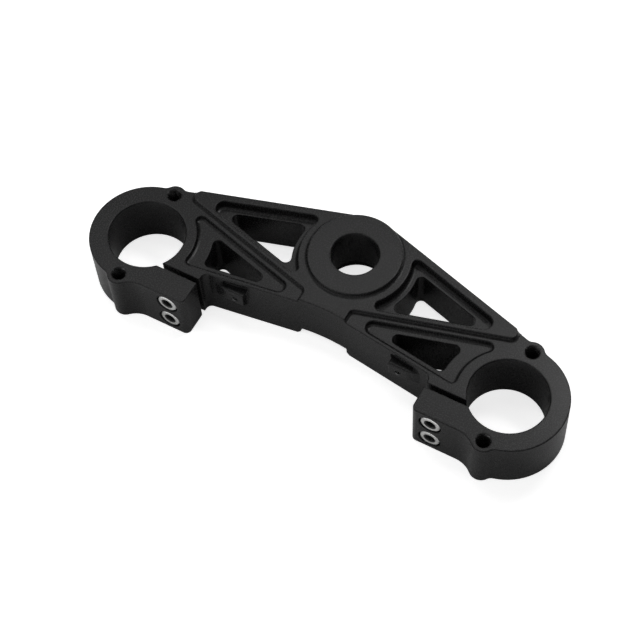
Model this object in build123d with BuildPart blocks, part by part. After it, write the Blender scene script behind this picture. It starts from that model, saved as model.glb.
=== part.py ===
"""Lower triple clamp of a motorcycle fork, machined from one aluminium billet.

The yoke carries two fork legs in split clamps at its ends and the steering stem in a boss at
its rear apex. A ribbed truss joins them: four stepped bays, each with a window right through.
Four socket head screws close the two fork clamps.

Frame: the origin is on the steering axis, level with the top faces of the fork clamps. +Z runs
up the steering axis, +X to the rider's left fork leg, +Y to the rear. All lengths are in mm.
"""
import os
from math import acos, atan2, cos, sin, sqrt

from build123d import *

# Fork clamps
fork_bore_dia = 49.0
fork_spacing = 250.0
fork_lead = 43.2
clamp_height = 37.0
ring_wall = 12.1
bore_chamfer = 0.55
slot_width = 3.4
slot_offset = 15.7
jaw_wall = 9.6
jaw_corner_radius = 3.6

# Ears with the vertical holes, on the ring in front of and behind each fork leg
ear_hole_dia = 9.0
ear_hole_setting = 8.8
ear_radius = 7.4
ear_jaw_blend = 16.0
ear_rear_blend = 5.0
ear_ring_blend = 6.0
hole_chamfer = 0.35
edge_break = 0.4
edge_flat = 0.1

# Steering stem boss
stem_bore_dia = 30.0
stem_chamfer = 0.7
stem_seat_dia = 40.0
stem_seat_depth = 12.0
boss_dia = 59.2
boss_height = 2.9
boss_base_radius = 1.6
boss_rear_margin = 1.2

# Truss between the stem and the forks
plateau_height = 3.0
plateau_end_inset = 12.7
plateau_end_width = 6.8
plateau_end_radius = 3.8
plateau_end_bevel = 2.0
plateau_bevel_radius = 2.0
neck_width = 31.6
neck_radius = 4.0
rear_edge_margin = 1.5
front_depth = 41.2
front_bend_radius = 128.0
lip_height = 5.2
lip_radius = 4.0
brace_lead = 2.0
tool_radius = 1.9
step_foot = 1.3
underside_depth = 6.0
underside_neck_width = 32.8
underside_edge_break = 2.0

# Bays and their windows
bay_floor = 3.25
rear_wall = 4.95
stem_wall = 5.85
fork_wall = 7.2
front_wall = 2.55
rib_above = 2.8
rib_below = 3.35
rear_bay_tip_radius = 5.4
front_bay_tip_radius = 4.7
bay_corner_radius = 3.5
ledge_width = 4.4
fork_ledge_width = 10.0
window_radius = 3.6

# Bosses on the front wall
pad_distance = 113.6
pad_width = 12.6
pad_reach = 4.1
pad_top = 6.8
pad_height = 9.6
pad_flank = 7.7
pad_hole_dia = 4.2
pad_hole_depth = 9.0
pad_hole_setting = 6.1
pad_edge_radius = 1.5
pad_root = 1.0
relief_width = 16.4
relief_shift = 1.2
relief_height = 4.5
relief_skin = 0.75

# Pinch screws
screw_dia = 8.0
screw_head_dia = 13.0
screw_head_height = 8.0
screw_head_chamfer = 0.8
screw_socket = 6.0
screw_socket_depth = 4.0
screw_length = 30.0
screw_spacing = 17.3
screw_setting = 9.65
screw_head_sink = 0.3
jaw_end_margin = 12.55
counterbore_clearance = 0.9
shank_clearance = 0.4
thread_clearance = 0.1
thread_runout = 2.0

# Places that follow from these sizes
fork_radius = fork_bore_dia / 2
fork_x = fork_spacing / 2
fork_y = -fork_lead
ring_radius = fork_radius + ring_wall
ear_offset = fork_radius + ear_hole_setting
slot_y = fork_y - slot_offset
jaw_y = fork_y - fork_radius - jaw_wall
screw_x = fork_x - fork_radius - screw_setting
jaw_x = screw_x - jaw_end_margin
boss_radius = boss_dia / 2
apex_radius = boss_radius + boss_rear_margin
plateau_x = fork_x - plateau_end_inset
beyond = fork_spacing
head_y = jaw_y + screw_head_sink
seat_y = head_y + screw_head_height
counterbore_radius = screw_head_dia / 2 + counterbore_clearance


class Edge2D:
    """A straight edge in plan, as the points p with normal . p = reach, its normal facing out."""

    def __init__(self, normal: Vector, reach: float):
        self.normal = normal
        self.reach = reach

    @classmethod
    def through(cls, start: Vector, end: Vector, outside: Vector) -> "Edge2D":
        """The edge through two points, facing the side named by a direction."""
        along = (end - start).normalized()
        normal = Vector(-along.Y, along.X)
        if normal.dot(outside) < 0:
            normal = -normal
        return cls(normal, normal.dot(start))

    def inset(self, wall: float) -> "Edge2D":
        """The parallel edge that stands back by a wall's thickness."""
        return Edge2D(self.normal, self.reach - wall)

    def flipped(self) -> "Edge2D":
        """The same edge, facing the other way."""
        return Edge2D(-self.normal, -self.reach)

    def y_at(self, x: float) -> float:
        """The edge's Y at a given X."""
        return (self.reach - self.normal.X * x) / self.normal.Y

    def meet(self, other: "Edge2D") -> Vector:
        """The point where two edges cross."""
        det = self.normal.X * other.normal.Y - self.normal.Y * other.normal.X
        x = (self.reach * other.normal.Y - self.normal.Y * other.reach) / det
        y = (self.normal.X * other.reach - self.reach * other.normal.X) / det
        return Vector(x, y)

    def beside_ring(self, centre: Vector, radius: float, towards: Vector) -> Vector:
        """The point of the edge at a distance from a ring's centre, on the side of a point."""
        along = Vector(-self.normal.Y, self.normal.X)
        if along.dot(towards - centre) < 0:
            along = -along
        gap = self.reach - self.normal.dot(centre)
        return centre + self.normal * gap + along * sqrt(radius**2 - gap**2)


def round_corner(centre: Vector, start: Vector, end: Vector, radius: float):
    """Draws a corner's arc about its centre, from one direction to the other."""
    middle = (start + end).normalized()
    ThreePointArc(centre + start * radius, centre + middle * radius, centre + end * radius)


class Bay:
    """A triangular bay between two straight edges and a ring, with its corners milled round."""

    def __init__(
        self, edge_a: Edge2D, edge_b: Edge2D, centre: Vector, ring: float, tip: float, corner: float
    ):
        self.edge_a = edge_a
        self.edge_b = edge_b
        self.centre = centre
        self.ring = ring
        self.tip = tip
        self.corner = corner

    def inset(self, wall: float) -> "Bay":
        """The bay that stands back all round by a wall's thickness."""
        return Bay(
            self.edge_a.inset(wall),
            self.edge_b.inset(wall),
            self.centre,
            self.ring + wall,
            self.tip - wall,
            self.corner - wall,
        )

    def draw(self):
        """Draws the bay's plan."""
        a, b, centre, ring, tip, corner = (
            self.edge_a, self.edge_b, self.centre, self.ring, self.tip, self.corner
        )
        tip_centre = a.inset(tip).meet(b.inset(tip))
        tip_bisector = (a.normal + b.normal).normalized()
        corner_a = a.inset(corner).beside_ring(centre, ring + corner, tip_centre)
        corner_b = b.inset(corner).beside_ring(centre, ring + corner, tip_centre)
        to_a = (corner_a - centre).normalized()
        to_b = (corner_b - centre).normalized()
        Line(tip_centre + a.normal * tip, corner_a + a.normal * corner)
        round_corner(corner_a, a.normal, -to_a, corner)
        ThreePointArc(
            centre + to_a * ring, centre + (to_a + to_b).normalized() * ring, centre + to_b * ring
        )
        round_corner(corner_b, -to_b, b.normal, corner)
        Line(corner_b + b.normal * corner, tip_centre + b.normal * tip)
        ThreePointArc(
            tip_centre + b.normal * tip,
            tip_centre + tip_bisector * tip,
            tip_centre + a.normal * tip,
        )


def on_ear(vertices, ear_y: float):
    """The outline's corners that lie on the ear circles at a given Y."""
    return vertices.filter_by(
        lambda v: abs((Vector(abs(v.X), v.Y) - Vector(fork_x, ear_y)).length - ear_radius) < 1e-4
    )


# Straight edges of the truss in plan, on the +X side
stem_axis = Vector(0, 0)
fork_axis = Vector(fork_x, fork_y)
rear_aim = Vector(fork_x, fork_y + ring_radius + rear_edge_margin)
rear_turn = atan2(rear_aim.Y, rear_aim.X) + acos(apex_radius / rear_aim.length)
rear_edge = Edge2D(Vector(cos(rear_turn), sin(rear_turn)), apex_radius)
front_end = Vector(jaw_x, slot_y + slot_width / 2 + lip_height)
front_edge = Edge2D.through(Vector(0, -front_depth), front_end, Vector(0, -1))
brace_end = Vector(plateau_x, rear_edge.y_at(plateau_x) - plateau_end_width)
brace_edge = Edge2D.through(Vector(0, brace_lead - front_depth), brace_end, Vector(0, -1))

# Plan outline
with BuildSketch() as outline:
    with BuildLine():
        Polyline(
            (0, rear_edge.y_at(0)),
            (fork_x, rear_aim.Y),
            (fork_x, jaw_y),
            (jaw_x, jaw_y),
            (front_end.X, front_end.Y),
            (0, -front_depth),
            close=True,
        )
    make_face()
    with Locations((fork_x, fork_y + ear_offset), (fork_x, fork_y - ear_offset)):
        Circle(ear_radius)
    fillet(on_ear(outline.vertices(), fork_y - ear_offset).sort_by(Axis.X)[0], ear_jaw_blend)
    fillet(on_ear(outline.vertices(), fork_y + ear_offset).sort_by(Axis.X)[0], ear_rear_blend)
    with Locations((fork_x, fork_y)):
        Circle(ring_radius)
    for ear_y in (fork_y + ear_offset, fork_y - ear_offset):
        fillet(on_ear(outline.vertices(), ear_y).sort_by(Axis.X)[-1], ear_ring_blend)
    fillet(outline.vertices().sort_by_distance((front_end.X, front_end.Y))[0], lip_radius)
    fillet(outline.vertices().sort_by_distance((jaw_x, jaw_y))[0], jaw_corner_radius)
    mirror(about=Plane.YZ)
    fillet(outline.vertices().sort_by_distance((0, rear_edge.y_at(0)))[0], apex_radius)
    fillet(outline.vertices().sort_by_distance((0, -front_depth))[0], front_bend_radius)

# Milled step down to the fork clamps, outside the plateau
end_turn = Vector(plateau_x, rear_edge.y_at(plateau_x) - plateau_end_bevel)
bevel_way = (Vector(0, 1) + Vector(-rear_edge.normal.Y, rear_edge.normal.X)).normalized()
bevel_end = end_turn + bevel_way * (beyond / 2)
with BuildPart() as clamp_step:
    with BuildSketch() as step_plan:
        with BuildLine():
            Polyline(
                (neck_width / 2, -beyond),
                (neck_width / 2, brace_edge.y_at(neck_width / 2)),
                (brace_end.X, brace_end.Y),
                (end_turn.X, end_turn.Y),
                (bevel_end.X, bevel_end.Y),
                (fork_x + beyond, bevel_end.Y),
                (fork_x + beyond, -beyond),
                close=True,
            )
        make_face()
        step_corner = (neck_width / 2, brace_edge.y_at(neck_width / 2))
        fillet(step_plan.vertices().sort_by_distance(step_corner)[0], neck_radius)
        fillet(step_plan.vertices().sort_by_distance((brace_end.X, brace_end.Y))[0], plateau_end_radius)
        fillet(step_plan.vertices().sort_by_distance((end_turn.X, end_turn.Y))[0], plateau_bevel_radius)
    extrude(amount=plateau_height + boss_height)
    chamfer(clamp_step.faces().sort_by(Axis.Z)[0].edges(), step_foot)
    mirror(about=Plane.YZ)

# Plateau of the truss, down to the foot of that step
foot_edge = brace_edge.inset(-tool_radius)
foot_neck = neck_width / 2 + tool_radius
foot_x = plateau_x + tool_radius
with BuildPart() as plateau:
    with BuildSketch(Plane.XY.offset(-tool_radius)):
        with BuildLine():
            Polyline(
                (0, -beyond),
                (foot_neck, -beyond),
                (foot_neck, foot_edge.y_at(foot_neck)),
                (foot_x, foot_edge.y_at(foot_x)),
                (foot_x, beyond),
                (0, beyond),
                close=True,
            )
        make_face()
        mirror(about=Plane.YZ)
        add(outline.sketch, mode=Mode.INTERSECT)
    extrude(amount=tool_radius + plateau_height)
    add(clamp_step.part, mode=Mode.SUBTRACT)
    chamfer(plateau.faces().sort_by(Axis.Z)[-1].edges(), edge_break)

# Milled hollow under the truss, around the boss, with its lower edge broken
with BuildPart() as underside:
    with BuildSketch(Plane.XY.offset(-clamp_height)) as hollow_plan:
        with BuildLine():
            Polyline(
                (0, -beyond),
                (underside_neck_width / 2, -beyond),
                (underside_neck_width / 2, brace_edge.y_at(underside_neck_width / 2)),
                (brace_end.X, brace_end.Y),
                (plateau_x, beyond),
                (0, beyond),
                close=True,
            )
        make_face()
        neck_corner = (underside_neck_width / 2, brace_edge.y_at(underside_neck_width / 2))
        fillet(hollow_plan.vertices().sort_by_distance(neck_corner)[0], neck_radius)
        fillet(hollow_plan.vertices().sort_by_distance((brace_end.X, brace_end.Y))[0], plateau_end_radius)
        mirror(about=Plane.YZ)
        Circle(boss_radius, mode=Mode.SUBTRACT)
    extrude(amount=underside_depth)
    with BuildSketch(Plane.XY.offset(-clamp_height)):
        Rectangle(3 * beyond, beyond)
    extrude(amount=-2 * underside_edge_break)
    lower_edge = underside.edges().filter_by_position(Axis.Z, -clamp_height - 1e-4, -clamp_height + 1e-4)
    lower_edge = lower_edge.filter_by(lambda e: not e.is_closed and abs(e.center().X) < fork_x)
    chamfer(lower_edge.filter_by(lambda e: abs(e.center().Y) < beyond / 2 - 1), underside_edge_break)

# Round boss of the stem, with its foot milled in two flats and cut off by the outline
boss_top = plateau_height + boss_height
foot_share = 1 - sqrt(0.5)
with BuildPart() as stem_boss:
    with BuildSketch(Plane.XZ):
        with BuildLine():
            Polyline(
                (0, boss_top),
                (0, 0),
                (boss_radius + boss_base_radius, 0),
                (boss_radius + boss_base_radius, plateau_height),
                (boss_radius + foot_share * boss_base_radius, plateau_height + foot_share * boss_base_radius),
                (boss_radius, plateau_height + boss_base_radius),
                (boss_radius, boss_top - edge_break),
                (boss_radius - edge_break, boss_top),
                close=True,
            )
        make_face()
    revolve(axis=Axis.Z)
    with BuildSketch():
        add(outline.sketch)
        offset(amount=-edge_break - edge_flat, mode=Mode.REPLACE)
    extrude(amount=boss_top, mode=Mode.INTERSECT)

# Stepped bays of the truss, with the foot of their walls milled in two flats
rear_sides = (rear_edge.inset(rear_wall), brace_edge.inset(rib_above))
front_sides = (brace_edge.flipped().inset(rib_below), front_edge.inset(front_wall))
rear_ring = boss_radius + stem_wall
front_ring = fork_radius + fork_wall
rear_bay = Bay(*rear_sides, stem_axis, rear_ring, rear_bay_tip_radius, bay_corner_radius)
front_bay = Bay(*front_sides, fork_axis, front_ring, front_bay_tip_radius, bay_corner_radius)
foot_mid = foot_share * tool_radius
foot_low = (tool_radius, -bay_floor)
foot_turn = (foot_mid, foot_mid - bay_floor)
foot_high = (0, tool_radius - bay_floor)
with BuildPart() as bays:
    for bay in (rear_bay, front_bay):
        for flat in ((foot_low, foot_turn), (foot_turn, foot_high)):
            for inset, level in flat:
                with BuildSketch(Plane.XY.offset(level)):
                    with BuildLine():
                        bay.inset(inset).draw()
                    make_face()
            loft(ruled=True)
        with BuildSketch(Plane.XY.offset(tool_radius - bay_floor)):
            with BuildLine():
                bay.draw()
            make_face()
        extrude(amount=bay_floor - tool_radius + boss_top)
    mirror(about=Plane.YZ)

# Broken top edges of the bays
flare_rise = edge_flat
flare_spread = edge_break + flare_rise
with BuildPart() as bay_flares:
    for bay, top in ((rear_bay, plateau_height), (front_bay, 0)):
        for inset, level in ((0, top - edge_break), (-flare_spread, top + flare_rise)):
            with BuildSketch(Plane.XY.offset(level)):
                with BuildLine():
                    bay.inset(inset).draw()
                make_face()
        loft(ruled=True)
    mirror(about=Plane.YZ)

# Windows through the floors of the bays
rear_frame = [side.inset(ledge_width) for side in rear_sides]
front_frame = [side.inset(ledge_width) for side in front_sides]
with BuildPart() as windows:
    with BuildSketch(Plane.XY.offset(-clamp_height)):
        with BuildLine():
            Bay(*rear_frame, stem_axis, rear_ring + ledge_width, window_radius, window_radius).draw()
        make_face()
        with BuildLine():
            Bay(*front_frame, fork_axis, front_ring + fork_ledge_width, window_radius, window_radius).draw()
        make_face()
        mirror(about=Plane.YZ)
    extrude(amount=clamp_height)

# Bosses on the front wall, each with a flank that runs out to the side and a sloping underside
pad_x = pad_distance / 2
pad_inner_x = pad_x - pad_width / 2
pad_outer_x = pad_x + pad_width / 2
pad_face_y = front_edge.y_at(pad_x) - pad_reach
pad_root_edge = front_edge.inset(pad_root)
pad_back_y = pad_root_edge.y_at(pad_inner_x)
flank_start = Vector(pad_outer_x, pad_face_y)
flank_end = Vector(pad_outer_x + pad_flank, front_edge.y_at(pad_outer_x + pad_flank))
flank_root = Edge2D.through(flank_start, flank_end, Vector(0, -1)).meet(pad_root_edge)
with BuildPart() as pads:
    with BuildSketch(Plane.YZ.offset(pad_inner_x)):
        with BuildLine():
            Polyline(
                (pad_back_y, -pad_top),
                (pad_face_y, -pad_top),
                (pad_face_y, -pad_top - pad_height),
                (pad_back_y, -pad_top - pad_height - pad_back_y + pad_face_y),
                close=True,
            )
        make_face()
    extrude(amount=flank_root.X - pad_inner_x)
    with BuildSketch(Plane.XY.offset(-pad_top)):
        with BuildLine():
            Polyline(
                (pad_inner_x, pad_back_y),
                (pad_inner_x, pad_face_y),
                (flank_start.X, flank_start.Y),
                (flank_root.X, flank_root.Y),
                close=True,
            )
        make_face()
    extrude(amount=-clamp_height, mode=Mode.INTERSECT)
    pad_rim = pads.faces().sort_by(Axis.Z)[-1].edges()
    fillet(pad_rim.sort_by_distance((pad_x, pad_face_y, -pad_top))[0], pad_edge_radius)
    mirror(about=Plane.YZ)

# Relief above each of these bosses
relief_x = pad_x + relief_shift
with BuildPart() as reliefs:
    with BuildSketch(
        Plane(
            origin=(relief_x, front_edge.y_at(relief_x), -pad_top + relief_height / 2),
            x_dir=(-front_edge.normal.Y, front_edge.normal.X, 0),
            z_dir=(front_edge.normal.X, front_edge.normal.Y, 0),
        )
    ):
        relief_face = Rectangle(relief_width, relief_height)
        fillet(relief_face.vertices().group_by(Axis.Y)[-1], relief_height / 2)
    extrude(amount=-(front_wall - relief_skin))
    mirror(about=Plane.YZ)

# Pinch screw, its head at the origin and its shank along -Z
with BuildPart() as screw:
    with BuildSketch(Plane.XZ):
        with BuildLine():
            Polyline(
                (0, 0),
                (screw_head_dia / 2 - screw_head_chamfer, 0),
                (screw_head_dia / 2, -screw_head_chamfer),
                (screw_head_dia / 2, -screw_head_height),
                (screw_dia / 2, -screw_head_height),
                (screw_dia / 2, -screw_head_height - screw_length),
                (0, -screw_head_height - screw_length),
                close=True,
            )
        make_face()
    revolve(axis=Axis.Z)
    with BuildSketch():
        RegularPolygon(screw_socket / 2, 6, major_radius=False)
    extrude(amount=-screw_socket_depth, mode=Mode.SUBTRACT)

screw_places = [
    (side * screw_x, -clamp_height / 2 + level * screw_spacing / 2)
    for side in (-1, 1)
    for level in (-1, 1)
]
with BuildPart() as pinch_screws:
    with Locations(*[Plane((x, head_y, z), x_dir=(1, 0, 0), z_dir=(0, -1, 0)) for x, z in screw_places]):
        add(screw.part)


def rims(part, radius: float):
    """The full circles of a given radius among a part's edges."""
    circles = part.edges().filter_by(GeomType.CIRCLE)
    return circles.filter_by(lambda e: e.is_closed and abs(e.radius - radius) < 1e-6)


# The yoke
with BuildPart() as yoke:
    with BuildSketch(Plane.XY.offset(-clamp_height)):
        add(outline.sketch)
    extrude(amount=clamp_height)
    chamfer(yoke.faces().sort_by(Axis.Z)[-1].edges(), edge_break)
    add(plateau.part)
    add(stem_boss.part)
    add(underside.part, mode=Mode.SUBTRACT)
    add(bays.part, mode=Mode.SUBTRACT)
    add(bay_flares.part, mode=Mode.SUBTRACT)
    add(windows.part, mode=Mode.SUBTRACT)
    add(pads.part)
    add(reliefs.part, mode=Mode.SUBTRACT)
    with Locations((0, 0, boss_top)):
        Hole(stem_bore_dia / 2)
    with BuildSketch(Plane.XY.offset(-clamp_height)):
        Circle(stem_seat_dia / 2)
    extrude(amount=stem_seat_depth, mode=Mode.SUBTRACT)
    with Locations((-fork_x, fork_y), (fork_x, fork_y)):
        Hole(fork_radius)
    ears = [(x, fork_y + y) for x in (-fork_x, fork_x) for y in (-ear_offset, ear_offset)]
    with Locations(*ears):
        Hole(ear_hole_dia / 2)
    chamfer(rims(yoke, fork_radius), bore_chamfer)
    chamfer(rims(yoke, ear_hole_dia / 2).group_by(Axis.Z)[-1], hole_chamfer)
    chamfer(rims(yoke, stem_bore_dia / 2).sort_by(Axis.Z)[-1], stem_chamfer)
    with BuildSketch(Plane.XY.offset(-clamp_height)):
        with Locations(((fork_x + jaw_x - slot_width) / 2, slot_y)):
            Rectangle(fork_x - jaw_x + slot_width, slot_width)
        mirror(about=Plane.YZ)
    extrude(amount=clamp_height, mode=Mode.SUBTRACT)
    with Locations(*[Plane((x, jaw_y, z), x_dir=(1, 0, 0), z_dir=(0, -1, 0)) for x, z in screw_places]):
        CounterBoreHole(
            screw_dia / 2 + shank_clearance,
            counterbore_radius,
            seat_y - jaw_y,
            slot_y - jaw_y,
        )
        Hole(screw_dia / 2 + thread_clearance, seat_y - jaw_y + screw_length + thread_runout)
    with Locations(
        *[
            Plane((x, pad_face_y, -pad_top - pad_hole_setting), x_dir=(1, 0, 0), z_dir=(0, -1, 0))
            for x in (-pad_x, pad_x)
        ]
    ):
        Hole(pad_hole_dia / 2, pad_hole_depth)

os.makedirs("parts", exist_ok=True)
yoke.part.label = "yoke"
pinch_screws.part.label = "pinch_screws"
export_step(yoke.part, "parts/yoke.step")
export_step(pinch_screws.part, "parts/pinch_screws.step")
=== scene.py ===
"""Looks of a motorcycle triple clamp: a black anodised yoke with four plated pinch screws.

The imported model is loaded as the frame. The finishes, the detailed screws, the threads, the studio
and the camera are made here.
"""
import logging
import math
from collections.abc import Callable, Sequence
from dataclasses import dataclass
from enum import Enum
from typing import Any

import bmesh
import bpy
from mathutils import Matrix, Vector

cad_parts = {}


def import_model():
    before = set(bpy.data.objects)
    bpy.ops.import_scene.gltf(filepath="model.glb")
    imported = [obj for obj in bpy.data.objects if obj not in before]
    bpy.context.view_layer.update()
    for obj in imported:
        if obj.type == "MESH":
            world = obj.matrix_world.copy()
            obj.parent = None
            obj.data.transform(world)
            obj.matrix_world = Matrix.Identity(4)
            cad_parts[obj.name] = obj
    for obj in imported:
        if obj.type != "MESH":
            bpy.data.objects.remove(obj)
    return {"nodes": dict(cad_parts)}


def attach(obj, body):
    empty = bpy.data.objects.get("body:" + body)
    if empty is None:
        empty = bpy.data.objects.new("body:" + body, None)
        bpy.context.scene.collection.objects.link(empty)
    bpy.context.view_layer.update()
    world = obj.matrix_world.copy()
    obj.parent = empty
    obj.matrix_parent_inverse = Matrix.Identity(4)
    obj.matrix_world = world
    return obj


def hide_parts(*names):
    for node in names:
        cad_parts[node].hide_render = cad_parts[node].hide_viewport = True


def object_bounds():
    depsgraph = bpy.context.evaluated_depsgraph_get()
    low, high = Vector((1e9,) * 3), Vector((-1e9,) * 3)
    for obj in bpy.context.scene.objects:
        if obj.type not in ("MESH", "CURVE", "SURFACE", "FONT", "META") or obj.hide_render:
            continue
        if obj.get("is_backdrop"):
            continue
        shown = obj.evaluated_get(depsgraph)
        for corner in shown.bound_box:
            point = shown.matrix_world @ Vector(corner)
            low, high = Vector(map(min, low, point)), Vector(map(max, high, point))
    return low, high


LOG = logging.getLogger("triple_clamp")

MILLIMETRE = 0.001
MERGE_DISTANCE = 0.0005
SHARP_ANGLE = math.radians(32)
RIGHT_ANGLE = 90.0
NOISE_MIDDLE = 0.5
HEXAGON = 6
# The screw's finish slot for painted shade.
PAINTED_SHADE_SLOT = 1

Colour = tuple[float, float, float]
Point = tuple[float, float, float]
Limits = tuple[float, float]
Profile = Sequence[tuple[float, float]]
Edges = list[bmesh.types.BMEdge]

WHITE: Colour = (1.0, 1.0, 1.0)


class Maths(Enum):
    """The operations of Math and Vector Math nodes that are used."""

    ADD = "ADD"
    SUBTRACT = "SUBTRACT"
    MULTIPLY = "MULTIPLY"
    DIVIDE = "DIVIDE"
    LENGTH = "LENGTH"


class Shader:
    """The nodes of one material or world, made one at a time."""

    MIX_SOCKETS = (0, 6, 7)
    MIX_RESULT = 2

    def __init__(self, owner: Any) -> None:
        """Empties the owner's node tree.

        Args:
            owner: The material or world that gets the nodes.
        """
        owner.use_nodes = True
        self.tree = owner.node_tree
        self.tree.nodes.clear()

    def node(
        self, kind: str, settings: dict[str, Any] | None = None, *inputs: Any, **named: Any
    ) -> bpy.types.Node:
        """Adds a node, sets it and fills its sockets.

        Args:
            kind: The node's type, such as ShaderNodeTexNoise.
            settings: The node's own settings, set before its sockets.
            inputs: Values or links for its first sockets, in their order.
            named: Values or links by socket name, with _ for a blank.

        Returns:
            The new node.
        """
        made = self.tree.nodes.new(kind)
        for name, value in (settings or {}).items():
            setattr(made, name, value)
        for socket, value in zip(made.inputs, inputs):
            self.feed(socket, value)
        for name, value in named.items():
            self.feed(made.inputs[name.replace("_", " ")], value)
        return made

    def feed(self, socket: bpy.types.NodeSocket, value: Any) -> None:
        """Sets a socket's value, or links an output to it.

        Args:
            socket: The socket.
            value: A number, colour or vector, or the output that is linked.
        """
        if isinstance(value, Value):
            value = value.socket
        if isinstance(value, bpy.types.NodeSocket):
            self.tree.links.new(value, socket)
        elif socket.type == "RGBA":
            socket.default_value = (*value, 1.0)
        else:
            socket.default_value = value

    def value(self, node: bpy.types.Node, output: str) -> "Value":
        """Wraps a node's output for maths."""
        return Value(self, node.outputs[output])

    def mix(self, share: "Value", first: Colour, second: Colour) -> bpy.types.NodeSocket:
        """Mixes two colours.

        Args:
            share: How much of the second colour shows.
            first: The first colour.
            second: The second colour.

        Returns:
            The output with the mixed colour.
        """
        made = self.node("ShaderNodeMix", {"data_type": "RGBA"})
        for index, value in zip(self.MIX_SOCKETS, (share, first, second)):
            self.feed(made.inputs[index], value)
        return made.outputs[self.MIX_RESULT]

    def both(
        self, first: bpy.types.NodeSocket, second: bpy.types.NodeSocket
    ) -> bpy.types.NodeSocket:
        """Adds the light of two shaders."""
        return self.node("ShaderNodeAddShader", None, first, second).outputs["Shader"]

    def vectors(self, operation: Maths, *inputs: Any) -> bpy.types.Node:
        """Adds one Vector Math node."""
        return self.node("ShaderNodeVectorMath", {"operation": operation.value}, *inputs)

    def place(self) -> bpy.types.NodeSocket:
        """Gives the place on the piece, in its own coordinates."""
        return self.node("ShaderNodeTexCoord").outputs["Object"]

    def noise(self, scale: float, detail: float) -> "Value":
        """Adds noise through the piece.

        Args:
            scale: How fine the noise is.
            detail: How many finer layers it has.

        Returns:
            The noise.
        """
        made = self.node("ShaderNodeTexNoise", Vector=self.place(), Scale=scale, Detail=detail)
        return self.value(made, "Fac")

    def bump(
        self, height: "Value", strength: float, distance: float, radius: float, samples: int
    ) -> bpy.types.NodeSocket:
        """Raises a grain over rounded edges.

        Args:
            height: The grain.
            strength: How much of it shows.
            distance: Its height, in metres.
            radius: The edges' radius, in metres.
            samples: How finely the edges are sampled.

        Returns:
            The output with the normal.
        """
        edges = self.node("ShaderNodeBevel", {"samples": samples}, Radius=radius)
        made = self.node(
            "ShaderNodeBump",
            Height=height,
            Strength=strength,
            Distance=distance,
            Normal=edges.outputs["Normal"],
        )
        return made.outputs["Normal"]

    def surface(self, **sockets: Any) -> None:
        """Ends a material in one Principled shader with these sockets."""
        made = self.node("ShaderNodeBsdfPrincipled", **sockets)
        self.node("ShaderNodeOutputMaterial", Surface=made.outputs["BSDF"])


class Value:
    """A number in a shader, with Python's operators adding Math nodes."""

    def __init__(self, shader: Shader, socket: bpy.types.NodeSocket) -> None:
        """Keeps the socket that gives the number."""
        self.shader = shader
        self.socket = socket

    def maths(self, operation: Maths, first: Any, second: Any) -> "Value":
        """Adds one Math node.

        Args:
            operation: The Math node's operation.
            first: Its first number.
            second: Its second number.

        Returns:
            The result.
        """
        made = self.shader.node("ShaderNodeMath", {"operation": operation.value}, first, second)
        return self.shader.value(made, "Value")

    def __add__(self, other: Any) -> "Value":
        """Adds a number."""
        return self.maths(Maths.ADD, self, other)

    __radd__ = __add__

    def __sub__(self, other: Any) -> "Value":
        """Takes a number away."""
        return self.maths(Maths.SUBTRACT, self, other)

    def __rsub__(self, other: Any) -> "Value":
        """Takes this from a number."""
        return self.maths(Maths.SUBTRACT, other, self)

    def __mul__(self, other: Any) -> "Value":
        """Multiplies by a number."""
        return self.maths(Maths.MULTIPLY, self, other)

    __rmul__ = __mul__

    def step(self, low: float, high: float) -> "Value":
        """Rises smoothly from 0 to 1.

        Args:
            low: Where it starts to rise.
            high: Where it reaches 1.

        Returns:
            The result.
        """
        made = self.shader.node(
            "ShaderNodeMapRange",
            {"interpolation_type": "SMOOTHSTEP"},
            Value=self,
            From_Min=low,
            From_Max=high,
        )
        return self.shader.value(made, "Result")


@dataclass(frozen=True)
class AnodisedFinish:
    """Satin black anodising over fine bead-blasted aluminium, with lengths in metres."""

    name: str = "satin_black_anodising"
    colour: Colour = (0.009, 0.009, 0.0091)
    worn: Colour = (0.026, 0.026, 0.0264)
    worn_share: float = 0.35
    roughness: float = 0.28
    specular: float = 0.2
    edge_radius: float = 0.001
    edge_samples: int = 8
    grain_scale: float = 1400.0
    grain_detail: float = 3.0
    grain_height: float = 0.000055
    grain_strength: float = 0.9
    speck_scale: float = 1150.0
    speck_detail: float = 2.0
    speck_limits: Limits = (0.45, 0.7)
    speck_middle: float = 0.4
    speck_roughness: float = 0.1
    cloud_scale: float = 38.0
    cloud_detail: float = 4.0
    cloud_roughness: float = 0.06

    def material(self) -> bpy.types.Material:
        """Makes the finish as a material.

        Returns:
            The material.
        """
        made = bpy.data.materials.new(self.name)
        shader = Shader(made)
        grain = shader.noise(self.grain_scale, self.grain_detail)
        clouds = shader.noise(self.cloud_scale, self.cloud_detail)
        specks = shader.noise(self.speck_scale, self.speck_detail).step(*self.speck_limits)
        cloudy = (clouds - NOISE_MIDDLE) * self.cloud_roughness
        specky = (specks - self.speck_middle) * self.speck_roughness
        shader.surface(
            Base_Color=shader.mix(specks * self.worn_share, self.colour, self.worn),
            Roughness=self.roughness + cloudy + specky,
            Specular_IOR_Level=self.specular,
            Normal=shader.bump(
                grain, self.grain_strength, self.grain_height, self.edge_radius, self.edge_samples
            ),
        )
        return made


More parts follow.
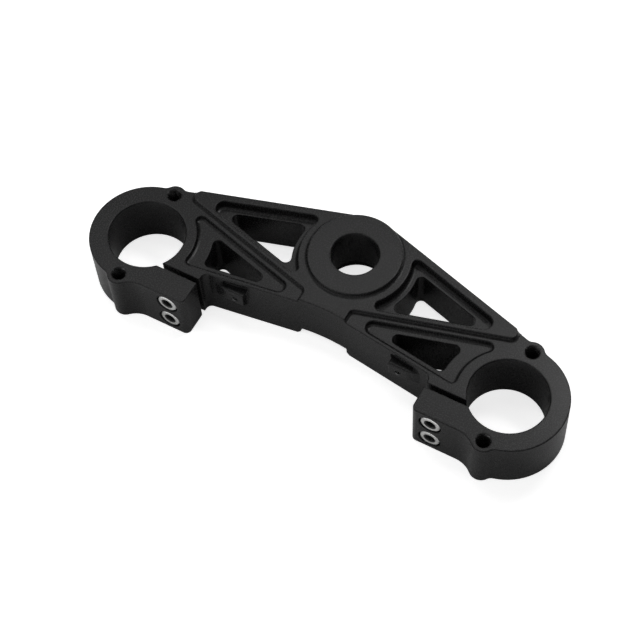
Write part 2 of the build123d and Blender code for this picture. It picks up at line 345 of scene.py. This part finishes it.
@dataclass(frozen=True)
class PlatedFinish:
    """Dull zinc plating on steel screws, with lengths in metres."""

    name: str = "dull_zinc_plating"
    colour: Colour = (0.78, 0.78, 0.77)
    stain: Colour = (0.55, 0.55, 0.54)
    stain_limits: Limits = (0.35, 0.75)
    metallic: float = 0.75
    roughness: float = 0.4
    edge_radius: float = 0.00025
    edge_samples: int = 6
    grain_scale: float = 2600.0
    grain_detail: float = 2.0
    grain_height: float = 0.00001
    grain_strength: float = 0.5
    cloud_scale: float = 900.0
    cloud_detail: float = 3.0
    cloud_roughness: float = 0.16

    def material(self) -> bpy.types.Material:
        """Makes the finish as a material.

        Returns:
            The material.
        """
        made = bpy.data.materials.new(self.name)
        shader = Shader(made)
        grain = shader.noise(self.grain_scale, self.grain_detail)
        clouds = shader.noise(self.cloud_scale, self.cloud_detail)
        cloudy = (clouds - NOISE_MIDDLE) * self.cloud_roughness
        shader.surface(
            Base_Color=shader.mix(clouds.step(*self.stain_limits), self.colour, self.stain),
            Metallic=self.metallic,
            Roughness=self.roughness + cloudy,
            Normal=shader.bump(
                grain, self.grain_strength, self.grain_height, self.edge_radius, self.edge_samples
            ),
        )
        return made


Finish = AnodisedFinish | PlatedFinish


class Form:
    """A mesh in the making, in millimetres about its own Z axis."""

    def __init__(self) -> None:
        """Starts with nothing."""
        self.shape = bmesh.new()

    def chain(self, profile: Profile, closed: bool = False) -> list[Any]:
        """Draws a profile of radii and heights.

        Args:
            profile: Pairs of radius and height.
            closed: Whether its end joins its start.

        Returns:
            The vertices and edges drawn.
        """
        verts = [self.shape.verts.new((radius, 0.0, height)) for radius, height in profile]
        followers = [*verts[1:], verts[0]] if closed else verts[1:]
        edges = [self.shape.edges.new(pair) for pair in zip(verts, followers)]
        return [*verts, *edges]

    def turn(self, profile: Profile, segments: int) -> None:
        """Turns a profile full circle.

        Args:
            profile: Pairs of radius and height.
            segments: Steps around the circle.
        """
        bmesh.ops.spin(
            self.shape,
            geom=self.chain(profile),
            cent=(0, 0, 0),
            axis=(0, 0, 1),
            angle=math.tau,
            steps=segments,
            use_merge=True,
        )

    def wind(self, profile: Profile, pitch: float, turns: int, segments: int) -> None:
        """Winds a closed profile into a coil and closes the coil's ends.

        Args:
            profile: Pairs of radius and height, less than a pitch high.
            pitch: Rise of one turn.
            turns: Number of turns.
            segments: Steps of one turn.
        """
        bmesh.ops.spin(
            self.shape,
            geom=self.chain(profile, closed=True),
            cent=(0, 0, 0),
            axis=(0, 0, 1),
            dvec=(0, 0, pitch / segments),
            angle=math.tau * turns,
            steps=segments * turns,
        )
        ends = [edge for edge in self.shape.edges if edge.is_boundary]
        bmesh.ops.holes_fill(self.shape, edges=ends)

    def ring(self, radius: float, height: float, segments: int, sides: int = 0) -> Edges:
        """Draws a closed ring about the axis, a circle or one with straight sides.

        Args:
            radius: Its radius, at the middle of a side where it has sides.
            height: Its height.
            segments: Its number of edges.
            sides: Its number of straight sides, 0 for a circle.

        Returns:
            The ring's edges.
        """
        before = set(self.shape.edges)
        place = Matrix.Translation((0.0, 0.0, height))
        made = bmesh.ops.create_circle(
            self.shape, segments=segments, radius=radius, matrix=place
        )
        if sides:
            width = math.tau / sides
            for vert in made["verts"]:
                angle = math.atan2(vert.co.y, vert.co.x)
                vert.co.xy /= math.cos((angle + width / 2) % width - width / 2)
        return [edge for edge in self.shape.edges if edge not in before]

    def bridge(self, rings: Sequence[Edges]) -> None:
        """Joins each ring to the next with faces."""
        for first, second in zip(rings, rings[1:]):
            bmesh.ops.bridge_loops(self.shape, edges=[*first, *second])

    def clean(self) -> None:
        """Merges what meets and turns the faces outwards."""
        bmesh.ops.remove_doubles(self.shape, verts=self.shape.verts, dist=MERGE_DISTANCE)
        bmesh.ops.recalc_face_normals(self.shape, faces=self.shape.faces)

    def paint(self, slot: int, covers: Callable[[float, float], bool]) -> None:
        """Gives some faces another of the piece's finishes.

        Args:
            slot: The finish's number.
            covers: Tells from a face's radius and height whether it is covered.
        """
        for face in self.shape.faces:
            middle = face.calc_center_median()
            if covers(math.hypot(middle.x, middle.y), middle.z):
                face.material_index = slot


@dataclass(frozen=True)
class ThreadSize:
    """A screw thread's sizes in millimetres, its tooth's corners in shares of the pitch."""

    crest: float
    root: float
    pitch: float
    foot_corners: Limits = (0.08, 0.94)
    crest_corners: Limits = (0.45, 0.57)
    sunk_share: float = 0.1

    def profile(self, base: float) -> Profile:
        """One tooth of the thread, with its foot sunk a little into the metal.

        Args:
            base: Height where it starts.

        Returns:
            Pairs of radius and height.
        """
        foot = self.root + (self.root - self.crest) * self.sunk_share
        shares = (
            (foot, self.foot_corners[0]),
            (self.crest, self.crest_corners[0]),
            (self.crest, self.crest_corners[1]),
            (foot, self.foot_corners[1]),
        )
        return [(radius, base + share * self.pitch) for radius, share in shares]


@dataclass(frozen=True)
class CapScrew:
    """A socket head cap screw, its head's face at the origin, its shank along -Z, in millimetres.

    The rim's curve is in from the head's side and down from its face, and the foot's curve in from
    the side and up from the head's underside.
    """

    head_radius: float = 6.5
    head_height: float = 8.0
    rim_curve: Profile = ((1.0, 0.0), (0.6, 0.1), (0.24, 0.4), (0.06, 0.8), (0.0, 1.2), (0.0, 1.8))
    foot_curve: Profile = ((0.0, 0.5), (0.35, 0.08), (0.6, 0.0))
    groove_top: float = 1.5
    groove_depth: float = 0.16
    groove_margin: float = 0.01
    socket: float = 6.0
    socket_depth: float = 4.2
    socket_chamfer: float = 0.5
    mouth_share: float = 1.32
    drill_share: float = 0.8
    drill_start: float = 0.1
    drill_depth: float = 1.2
    length: float = 30.0
    neck: float = 1.2
    neck_taper: float = 0.5
    core_gap: float = 0.02
    tip_bevel: float = 0.5
    thread: ThreadSize = ThreadSize(crest=3.98, root=3.34, pitch=1.25)
    thread_start: float = 0.6
    thread_rest: float = 2.6
    thread_segments: int = 40
    segments: int = 96
    bright_mouth: float = 0.1
    bright_chamfer: float = 0.2
    bright_rim: float = 1.3

    @property
    def mouth(self) -> float:
        """The radius of the socket's chamfered mouth."""
        return self.socket / 2 * self.mouth_share

    def form(self) -> Form:
        """Builds the screw.

        Returns:
            The form.
        """
        made = Form()
        self.cut_thread(made)
        self.turn_outside(made)
        self.sink_socket(made)
        made.clean()
        self.groove_head(made)
        # Painted shade: the socket and all below the rim, down in the counterbore, get a near-black
        # finish.
        made.paint(PAINTED_SHADE_SLOT, self.in_painted_shade)
        return made

    def cut_thread(self, made: Form) -> None:
        """Winds the thread, the first thing in the form.

        Args:
            made: The screw's form.
        """
        base = self.thread_start - self.head_height - self.length
        turns = int((self.length - self.thread_rest) / self.thread.pitch)
        made.wind(self.thread.profile(base), self.thread.pitch, turns, self.thread_segments)

    def turn_outside(self, made: Form) -> None:
        """Turns the head and the shank's core.

        Args:
            made: The screw's form.
        """
        side, under = self.head_radius, -self.head_height
        core, tip = self.thread.root - self.core_gap, under - self.length
        made.turn(
            (
                (self.mouth, 0.0),
                *((side - inset, -depth) for inset, depth in self.rim_curve),
                *((side - inset, under + lift) for inset, lift in self.foot_curve),
                (self.thread.crest, under),
                (self.thread.crest, under - self.neck),
                (core, under - self.neck - self.neck_taper),
                (core, tip + self.tip_bevel),
                (self.thread.root - self.tip_bevel, tip),
                (0.0, tip),
            ),
            self.segments,
        )

    def sink_socket(self, made: Form) -> None:
        """Sinks the hexagon socket, with a chamfered mouth and a drilled point.

        Args:
            made: The screw's form.
        """
        flat = self.socket / 2
        drill = flat * self.drill_share
        drilled = -self.socket_depth - self.drill_start
        made.bridge(
            (
                made.ring(self.mouth, 0.0, self.segments),
                made.ring(flat, -self.socket_chamfer, self.segments, HEXAGON),
                made.ring(flat, -self.socket_depth, self.segments, HEXAGON),
                made.ring(drill, drilled, self.segments),
            )
        )
        point = -self.socket_depth - self.drill_depth
        made.turn(((drill, drilled), (0.0, point)), self.segments)

    def in_groove(self, place: Vector) -> bool:
        """Tells whether a point of the head's side lies in a groove.

        Args:
            place: The point.

        Returns:
            True for every other step around the side.
        """
        inside = math.hypot(place.x, place.y) < self.head_radius - self.groove_margin
        if inside or place.z > -self.groove_top:
            return False
        return round(math.atan2(place.y, place.x) / math.tau * self.segments) % 2 == 1

    def groove_head(self, made: Form) -> None:
        """Presses fine grooves into the head's side.

        Args:
            made: The screw's form.
        """
        grooves = [vert for vert in made.shape.verts if self.in_groove(vert.co)]
        share = 1 - self.groove_depth / self.head_radius
        bmesh.ops.scale(made.shape, vec=(share, share, 1.0), verts=grooves)

    def in_painted_shade(self, radius: float, height: float) -> bool:
        """Tells whether a face lies in the socket or below the rim, where the colour holds painted
        shade.

        Args:
            radius: The face's radius.
            height: The face's height.

        Returns:
            True where the screw gets painted shade.
        """
        in_socket = radius < self.mouth - self.bright_mouth and height < -self.bright_chamfer
        return in_socket or height < -self.bright_rim


@dataclass(frozen=True)
class Piece:
    """A finished mesh that rides on the part."""

    name: str
    slot: str

    def join(self, form: Form, places: Sequence[Matrix]) -> bpy.types.Mesh:
        """Sets copies of a form in place as one smooth mesh with sharp edges.

        Args:
            form: The form, in millimetres. It is used up.
            places: Where each copy goes, in metres.

        Returns:
            The mesh.
        """
        mesh = bpy.data.meshes.new(self.name)
        whole = bmesh.new()
        single = bpy.data.meshes.new(self.name + "_form")
        form.shape.to_mesh(single)
        form.shape.free()
        size = Matrix.Scale(MILLIMETRE, 4)
        for place in places:
            start = len(whole.verts)
            whole.from_mesh(single)
            whole.verts.ensure_lookup_table()
            bmesh.ops.transform(whole, matrix=place @ size, verts=whole.verts[start:])
        for face in whole.faces:
            face.smooth = True
        whole.to_mesh(mesh)
        whole.free()
        bpy.data.meshes.remove(single)
        mesh.set_sharp_from_angle(angle=SHARP_ANGLE)
        return mesh

    def make(self, form: Form, places: Sequence[Matrix], *finishes: Finish) -> bpy.types.Object:
        """Makes copies of a form one object, dressed and riding on the part.

        Args:
            form: The form, in millimetres.
            places: Where each copy goes, in metres.
            finishes: Its finishes, in the order of the form's slots.

        Returns:
            The object.
        """
        mesh = self.join(form, places)
        for finish in finishes:
            mesh.materials.append(finish.material())
        made = bpy.data.objects.new(self.name, mesh)
        bpy.context.scene.collection.objects.link(made)
        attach(made, "root")
        LOG.info("%s: %d faces", self.name, len(mesh.polygons))
        return made


def facing(place: Point, axis: Point) -> Matrix:
    """The place of a form whose Z axis faces a given way.

    Args:
        place: The form's origin, in millimetres.
        axis: The way its Z axis faces.

    Returns:
        The place as a matrix in metres.
    """
    turn = Vector(axis).to_track_quat("Z", "Y").to_matrix().to_4x4()
    return Matrix.Translation(Vector(place) * MILLIMETRE) @ turn


@dataclass(frozen=True)
class TappedHoles:
    """A set of equal tapped holes in the yoke, in millimetres."""

    name: str
    thread: ThreadSize
    turns: int
    mouths: tuple[Point, ...]
    axis: Point
    lead: float = 0.6
    segments: int = 36

    def tap(self, finish: Finish) -> None:
        """Cuts the thread into the holes.

        Args:
            finish: The thread's finish.
        """
        made = Form()
        base = -(self.turns + self.lead) * self.thread.pitch
        made.wind(self.thread.profile(base), self.thread.pitch, self.turns, self.segments)
        made.clean()
        places = [facing(mouth, self.axis) for mouth in self.mouths]
        Piece(self.name, "yoke").make(made, places, finish)


@dataclass
class TripleClamp:
    """The yoke with its tapped holes and its pinch screws, placed in millimetres."""

    nodes: dict[str, bpy.types.Object]
    yoke_finish: AnodisedFinish = AnodisedFinish()
    thread_finish: AnodisedFinish = AnodisedFinish(
        name="tapped_thread",
        roughness=0.24,
        specular=0.7,
        edge_radius=0.0001,
    )
    screw_finish: PlatedFinish = PlatedFinish()
    # Painted shade: near-black in place of the plating, for the socket and the parts in the
    # counterbore.
    socket_shade_finish: PlatedFinish = PlatedFinish(
        name="painted_socket_shade",
        colour=(0.012, 0.012, 0.012),
        stain=(0.03, 0.03, 0.03),
        metallic=0.3,
        roughness=0.5,
    )
    screw: CapScrew = CapScrew()
    screw_axis: Point = (0.0, -1.0, 0.0)
    screw_faces: tuple[Point, ...] = (
        (-90.85, -77.0, -27.15),
        (-90.85, -77.0, -9.85),
        (90.85, -77.0, -27.15),
        (90.85, -77.0, -9.85),
    )
    ear_holes: TappedHoles = TappedHoles(
        name="ear_threads",
        thread=ThreadSize(crest=4.08, root=4.52, pitch=1.5),
        turns=23,
        mouths=(
            (-125.0, -76.5, 0.0),
            (-125.0, -9.9, 0.0),
            (125.0, -76.5, 0.0),
            (125.0, -9.9, 0.0),
        ),
        axis=(0.0, 0.0, 1.0),
    )
    boss_holes: TappedHoles = TappedHoles(
        name="boss_threads",
        thread=ThreadSize(crest=1.74, root=2.12, pitch=0.8),
        turns=9,
        mouths=((-56.8, -53.13, -12.9), (56.8, -53.13, -12.9)),
        axis=(0.0, -1.0, 0.0),
    )

    def dress(self, node: str, finish: Finish) -> None:
        """Gives a node its finish.

        Args:
            node: The node's name.
            finish: The finish that covers it.
        """
        mesh = self.nodes[node].data
        mesh.materials.clear()
        mesh.materials.append(finish.material())
        LOG.info("%s: %s", node, finish.name)

    def fit_screws(self) -> None:
        """Puts a detailed cap screw in the place of each plain one."""
        places = [facing(face, self.screw_axis) for face in self.screw_faces]
        piece = Piece("cap_screws", "pinch_screws")
        screws = piece.make(self.screw.form(), places, self.screw_finish, self.socket_shade_finish)
        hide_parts("pinch_screws")

    def build(self) -> None:
        """Dresses the yoke and fits the small pieces."""
        self.dress("yoke", self.yoke_finish)
        self.dress("pinch_screws", self.screw_finish)
        self.fit_screws()
        self.ear_holes.tap(self.thread_finish)
        self.boss_holes.tap(self.thread_finish)


def heading(azimuth: float, elevation: float) -> Vector:
    """The way from the origin to a point in the sky.

    Args:
        azimuth: Degrees from +X towards +Y.
        elevation: Degrees above the floor.

    Returns:
        The way, one long.
    """
    around, above = math.radians(azimuth), math.radians(elevation)
    level = math.cos(above)
    return Vector((math.cos(around) * level, math.sin(around) * level, math.sin(above)))


def area_lamp(
    name: str, place: Matrix, wide: float, deep: float, radiance: float
) -> bpy.types.Object:
    """Hangs a rectangular lamp of a given brightness.

    Args:
        name: The lamp's name.
        place: Its place, shining along its own -Z.
        wide: Its size along its X, in metres.
        deep: Its size along its Y.
        radiance: How bright its face looks, where 1 is white.

    Returns:
        The lamp.
    """
    data = bpy.data.lights.new(name, "AREA")
    data.shape = "RECTANGLE"
    data.size = wide
    data.size_y = deep
    data.energy = radiance * math.pi * wide * deep
    lamp = bpy.data.objects.new(name, data)
    lamp.matrix_world = place
    bpy.context.scene.collection.objects.link(lamp)
    return lamp


@dataclass(frozen=True)
class Softbox:
    """A soft lamp that faces the object, with angles in degrees and its distance in metres."""

    name: str
    azimuth: float
    elevation: float
    width: float
    height: float
    radiance: float
    distance: float = 2.2

    def span(self, angle: float) -> float:
        """The length that the object sees under an angle."""
        return 2 * self.distance * math.tan(math.radians(angle) / 2)

    def hang(self) -> bpy.types.Object:
        """Hangs the lamp, seen from the object under its angles of width and height.

        Returns:
            The lamp.
        """
        way = heading(self.azimuth, self.elevation)
        turn = (-way).to_track_quat("-Z", "Y").to_matrix().to_4x4()
        place = Matrix.Translation(way * self.distance) @ turn
        wide, deep = self.span(self.width), self.span(self.height)
        return area_lamp(self.name, place, wide, deep, self.radiance)


@dataclass(frozen=True)
class Panel:
    """A lamp that hangs level over the object, in metres."""

    name: str
    x: float
    y: float
    wide: float
    deep: float
    radiance: float
    z: float = 0.78

    def hang(self) -> bpy.types.Object:
        """Hangs the lamp, shining down."""
        place = Matrix.Translation((self.x, self.y, self.z))
        return area_lamp(self.name, place, self.wide, self.deep, self.radiance)


def grey(level: float) -> Colour:
    """A grey of a given level."""
    return (level, level, level)


@dataclass
class Studio:
    """White sweep, soft lamps and the camera at the photograph's view, in metres and degrees.

    The open floor lies outside an oval about the part's middle, at any height. Reflections see a
    painted glow on the open floor, so the oval is a painted shadow of the part in reflections.
    The camera's azimuth is from the front, -Y, towards +X.
    """

    floor_z: float
    floor_half: float = 6.0
    floor_albedo: float = 0.74
    floor_glow: float = 0.74
    near_gleam: float = 0.01
    open_gleam: float = 0.91
    open_limits: Limits = (1.15, 1.7)
    part_middle: Point = (0.035, -0.03, 0.0)
    part_reach: Point = (0.2, 0.1, 1000.0)
    sky_level: float = 0.03
    azimuth: float = 32.444
    elevation: float = 58.614
    roll: float = -4.253
    place: Point = (0.2866, -0.4964, 0.8698)
    lens: float = 94.78
    sensor: float = 36.0
    clip_start: float = 0.01
    lamps: tuple[Softbox | Panel, ...] = (
        Panel("right_rear_panel", 0.17, 0.45, 0.2, 0.16, 19.5),
        Panel("rear_panel", -0.15, 0.43, 0.4, 0.2, 3.3),
        Panel("left_rear_panel", -0.55, 0.345, 0.4, 0.3, 1.3),
        Panel("left_panel", -0.35, 0.12, 0.8, 0.15, 4.0),
        Softbox("right_softbox", 338.0, 43.5, 33.0, 19.0, 0.9),
        Softbox("left_softbox", 222.0, 40.0, 62.0, 18.0, 1.8, 0.9),
        Softbox("front_strip", 265.0, 7.0, 90.0, 12.0, 3.0),
        Softbox("front_top_strip", 300.0, 74.0, 40.0, 10.0, 1.45),
        Softbox("right_strip", 20.0, 16.0, 34.0, 14.0, 0.5),
        Softbox("rear_strip", 95.0, 6.0, 120.0, 11.0, 4.0),
    )

    def open_floor(self, shader: Shader) -> Value:
        """Masks the floor away from the part, for a painted glow in reflections and a painted shadow
        near the part.

        Args:
            shader: The floor's shader.

        Returns:
            0 under and near the part, 1 well away from it.
        """
        offset = shader.vectors(Maths.SUBTRACT, shader.place(), self.part_middle)
        share = shader.vectors(Maths.DIVIDE, offset.outputs["Vector"], self.part_reach)
        reach = shader.vectors(Maths.LENGTH, share.outputs["Vector"])
        return shader.value(reach, "Value").step(*self.open_limits)

    def sweep(self) -> bpy.types.Material:
        """Makes the floor's finish: matt, seen white, with a painted pale glow in reflections away
        from the part and a painted shadow in reflections near it.

        Returns:
            The material.
        """
        made = bpy.data.materials.new("white_sweep")
        shader = Shader(made)
        path = shader.node("ShaderNodeLightPath")
        seen = shader.value(path, "Is Camera Ray")
        mirrored = shader.value(path, "Is Glossy Ray") + shader.value(path, "Is Transmission Ray")
        # Painted reflection: glossy rays see a pale glow, dim near the part as a painted shadow.
        tint = shader.mix(self.open_floor(shader), grey(self.near_gleam), grey(self.open_gleam))
        matt = shader.node("ShaderNodeBsdfDiffuse", Color=grey(self.floor_albedo))
        glow = shader.node("ShaderNodeEmission", Color=WHITE, Strength=seen * self.floor_glow)
        gleam = shader.node("ShaderNodeEmission", Color=tint, Strength=mirrored)
        shine = shader.both(glow.outputs["Emission"], gleam.outputs["Emission"])
        whole = shader.both(matt.outputs["BSDF"], shine)
        shader.node("ShaderNodeOutputMaterial", Surface=whole)
        return made

    def lay_floor(self) -> bpy.types.Object:
        """Lays the pale floor under the part.

        Returns:
            The floor, marked as stage.
        """
        mesh = bpy.data.meshes.new("floor")
        shape = bmesh.new()
        bmesh.ops.create_grid(shape, x_segments=1, y_segments=1, size=self.floor_half)
        bmesh.ops.translate(shape, verts=shape.verts, vec=(0, 0, self.floor_z))
        shape.to_mesh(mesh)
        shape.free()
        mesh.materials.append(self.sweep())
        floor = bpy.data.objects.new("floor", mesh)
        bpy.context.scene.collection.objects.link(floor)
        floor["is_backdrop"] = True
        return floor

    def light_sky(self) -> None:
        """Dims the surroundings, white only where the camera looks past the floor."""
        world = bpy.data.worlds.new("tent")
        bpy.context.scene.world = world
        shader = Shader(world)
        seen = shader.value(shader.node("ShaderNodeLightPath"), "Is Camera Ray")
        level = seen * (1.0 - self.sky_level) + self.sky_level
        sky = shader.node("ShaderNodeBackground", Color=WHITE, Strength=level)
        shader.node("ShaderNodeOutputWorld", Surface=sky.outputs["Background"])

    def set_camera(self) -> bpy.types.Object:
        """Sets the camera at the photograph's view.

        Returns:
            The camera.
        """
        roll = math.radians(self.roll)
        back = heading(self.azimuth - RIGHT_ANGLE, self.elevation)
        right = heading(self.azimuth, 0.0)
        up = back.cross(right)
        turned_right = right * math.cos(roll) + up * math.sin(roll)
        turned_up = up * math.cos(roll) - right * math.sin(roll)
        turn = Matrix((turned_right, turned_up, back)).transposed().to_4x4()
        data = bpy.data.cameras.new("camera")
        data.sensor_width = self.sensor
        data.lens = self.lens
        data.clip_start = self.clip_start
        camera = bpy.data.objects.new("camera", data)
        camera.matrix_world = Matrix.Translation(Vector(self.place)) @ turn
        bpy.context.scene.collection.objects.link(camera)
        bpy.context.scene.camera = camera
        return camera

    def build(self) -> None:
        """Makes the floor, the light and the camera."""
        self.lay_floor()
        self.light_sky()
        for lamp in self.lamps:
            lamp.hang()
        self.set_camera()
        LOG.info("studio: floor, %d lamps and camera", len(self.lamps))


def main() -> None:
    """Builds the object's looks and the studio."""
    logging.basicConfig(level=logging.INFO, format="%(name)s: %(message)s")
    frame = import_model()
    cad_box = [list(corner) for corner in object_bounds()]
    bpy.context.scene.view_settings.view_transform = "Standard"
    TripleClamp(frame["nodes"]).build()
    Studio(floor_z=cad_box[0][2]).build()


if __name__ == "__main__":
    main()
